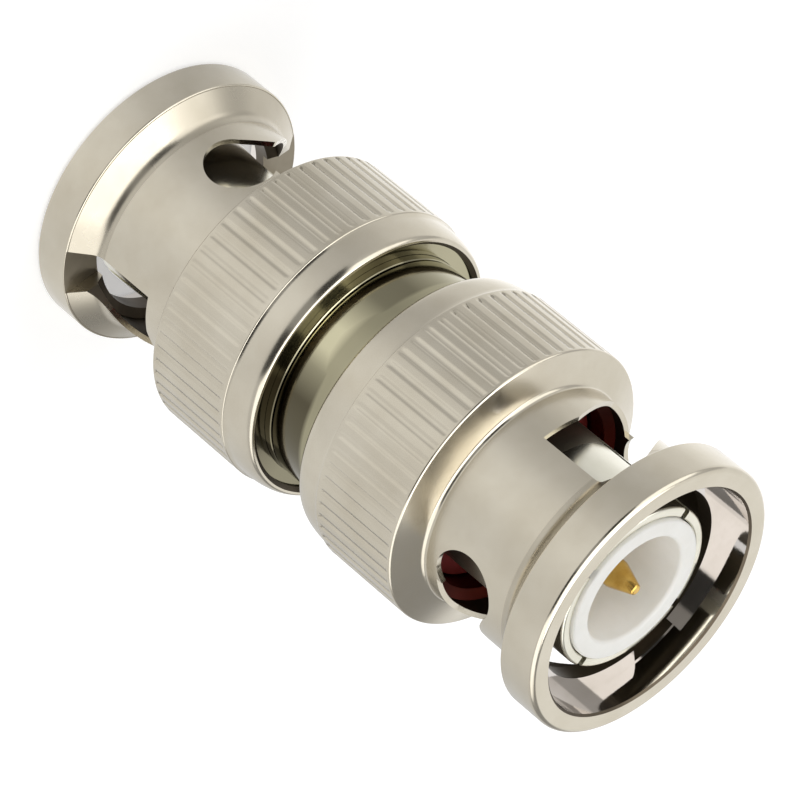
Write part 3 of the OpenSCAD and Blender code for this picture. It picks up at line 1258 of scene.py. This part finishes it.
@dataclass
class Studio:
    """Floor, light and camera."""

    floor_size: float = 3.0
    floor_colour: str = "E8E8E8"
    floor_glow: float = 0.38
    ceiling: tuple[float, float] = (0.82, 0.92)
    lamp_range: float = 220.0
    lamp_aim: float = 16.0
    camera_at: tuple[float, float, float] = (0.0, -180.997, 124.84)
    right: tuple[float, float, float] = (-0.63843, 0.39357, 0.66145)
    down: tuple[float, float, float] = (0.76968, 0.32548, 0.54923)
    ahead: tuple[float, float, float] = (0.00087, 0.85975, -0.51072)
    lens: float = 214.47
    sensor: float = 36.0
    # Nearest and farthest that the camera sees, in metres
    clip: tuple[float, float] = (0.01, 10.0)
    sky: float = 0.72

    def camera(self) -> None:
        """Places the camera, above the middle and rolled so that the adapter lies aslant."""
        data = bpy.data.cameras.new("camera")
        data.sensor_width = self.sensor
        data.lens = self.lens
        data.clip_start, data.clip_end = self.clip
        item = bpy.data.objects.new("camera", data)
        bpy.context.scene.collection.objects.link(item)
        columns = (self.right, [-v for v in self.down], [-v for v in self.ahead])
        turn = Matrix(columns).transposed().to_4x4()
        item.matrix_world = Matrix.Translation(Vector(self.camera_at) * MM) @ turn
        bpy.context.scene.camera = item

    def floor(self) -> None:
        """Lays the plain pale floor, white to the camera save for the shadow."""
        deselect()
        bpy.ops.mesh.primitive_plane_add(size=self.floor_size)
        item = bpy.context.active_object
        item.name = "floor"
        made = bpy.data.materials.new("pale_floor")
        tree = NodeTree(made)
        path = tree.add("ShaderNodeLightPath")
        seen = tree.add(
            "ShaderNodeMath",
            settings={"operation": "MAXIMUM"},
            links={0: path.outputs["Is Glossy Ray"], 1: path.outputs["Is Transmission Ray"]},
        )
        matt = tree.add("ShaderNodeBsdfDiffuse", values={"Color": linear(self.floor_colour)})
        glow = tree.add("ShaderNodeEmission", values={"Strength": self.floor_glow})
        lit = tree.add("ShaderNodeAddShader", links={0: matt.outputs[0], 1: glow.outputs[0]})
        # Away from the lamps the floor lies in softer light, which the metal shows
        place = tree.add("ShaderNodeTexCoord").outputs["Object"]
        level = tree.level_round(place, FLOOR_LIGHT)
        plain = tree.add("ShaderNodeEmission", links={"Color": level})
        camera_mix = tree.add(
            "ShaderNodeMixShader",
            links={0: path.outputs["Is Camera Ray"], 1: matt.outputs[0], 2: lit.outputs[0]},
        )
        mix = tree.add(
            "ShaderNodeMixShader",
            links={0: seen.outputs[0], 1: camera_mix.outputs[0], 2: plain.outputs[0]},
        )
        tree.add("ShaderNodeOutputMaterial", links={"Surface": mix.outputs[0]})
        item.data.materials.append(made)

    def world(self) -> None:
        """Lights the studio softly from all round, white behind the object."""
        world = bpy.data.worlds.new("studio")
        tree = NodeTree(world)
        path = tree.add("ShaderNodeLightPath")
        white = linear("FFFFFF")
        soft, plain = [
            tree.add("ShaderNodeBackground", values={"Color": white, "Strength": strength})
            for strength in (self.sky, 1.0)
        ]
        # The room is dark on the viewer's side, and the ceiling and sweep are white
        aim = tree.add("ShaderNodeTexCoord").outputs["Generated"]
        level = tree.level_round(aim, ROOM_LIGHT)
        height = tree.add("ShaderNodeSeparateXYZ", links={0: aim}).outputs["Z"]
        ceiling = tree.add(
            "ShaderNodeMapRange",
            values={"From Min": self.ceiling[0], "From Max": self.ceiling[1]},
            links={"Value": height},
        )
        shade = tree.add(
            "ShaderNodeMix",
            settings={"data_type": "RGBA"},
            values={7: white},
            links={0: ceiling.outputs["Result"], 6: level},
        )
        room = tree.add("ShaderNodeBackground", links={"Color": shade.outputs[2]})
        shown = tree.add(
            "ShaderNodeMixShader",
            links={0: path.outputs["Is Glossy Ray"], 1: soft.outputs[0], 2: room.outputs[0]},
        )
        mix = tree.add(
            "ShaderNodeMixShader",
            links={0: path.outputs["Is Camera Ray"], 1: shown.outputs[0], 2: plain.outputs[0]},
        )
        tree.add("ShaderNodeOutputWorld", links={"Surface": mix.outputs[0]})
        bpy.context.scene.world = world

    def lamp(self, box: SoftBox) -> None:
        """Hangs a soft box.

        Args:
            box: What it is and where it hangs.
        """
        data = bpy.data.lights.new(box.name, "AREA")
        data.shape = "RECTANGLE"
        data.size, data.size_y = box.size[0] * MM, box.size[1] * MM
        data.energy = box.level * math.pi * data.size * data.size_y
        item = bpy.data.objects.new(box.name, data)
        bpy.context.scene.collection.objects.link(item)
        a, b = math.radians(box.round_to - 90), math.radians(box.up)
        way = Vector((math.cos(a) * math.cos(b), math.sin(a) * math.cos(b), math.sin(b)))
        spot = (Vector((0, 0, self.lamp_aim)) + way * self.lamp_range) * MM
        facing = (-way).to_track_quat("-Z", "Y").to_matrix().to_4x4()
        item.matrix_world = Matrix.Translation(spot) @ facing
        item.visible_diffuse = box.lights_matt

    def build(self) -> None:
        """Builds the whole studio."""
        self.floor()
        self.world()
        for box in SOFT_BOXES:
            self.lamp(box)
        self.camera()
        bpy.context.scene.view_settings.view_transform = "Standard"


def dress_node(name: str, material: Material) -> None:
    """Gives a CAD node that stays in view its material.

    Args:
        name: The node's name.
        material: Its material.
    """
    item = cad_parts[name]
    coat(item, material)
    for face in item.data.polygons:
        # Flat ends stay flat, and turned walls are smooth
        face.use_smooth = abs(face.normal.z) < 0.5
    LOG.info("%s keeps its shape", name)


def main() -> None:
    """Builds the adapter and its studio."""
    logging.basicConfig(level=logging.INFO, format="%(name)s: %(message)s")
    # Of the nut's finishes, the bore is painted dark for shade, its end painted red as a
    # reflection, and the neck painted darker
    nut = (NICKEL, BRIGHT_NICKEL, DARK_BORE, DULL_NICKEL_AND_PAINTED_SHADE, NECK_NICKEL, DEEP_BORE)
    nut_finishes = tuple(finish.material() for finish in nut)
    # The body's material carries painted highlight and painted shade round and along it
    turned, steel = BODY_NICKEL.material(), SPRING_STEEL.material()
    silver, gold = SILVER.material(), GOLD.material()
    white, red = FLUOROPOLYMER.material(), SILICONE.material()
    pieces = CouplingNut().build(nut_finishes)
    # The shank deep in the nut takes the darker plate, as painted shade
    pieces += OuterContact().build(silver, nut_finishes[NutFace.MILLED])
    pieces += Insulator().build(white) + CentreContact().build(gold) + Body().build(turned)
    for piece in pieces:
        piece.join_frame()
    for end in End:
        dress_node(f"gasket_{end.value}", red)
        for name in ("spring_washer_{}_a", "spring_washer_{}_b", "thrust_washer_{}"):
            dress_node(name.format(end.value), steel)
        # The retaining ring takes the body's material, with its painted highlight and shade
        dress_node(f"retaining_ring_{end.value}", turned)
    Studio().build()


if __name__ == "__main__":
    main()
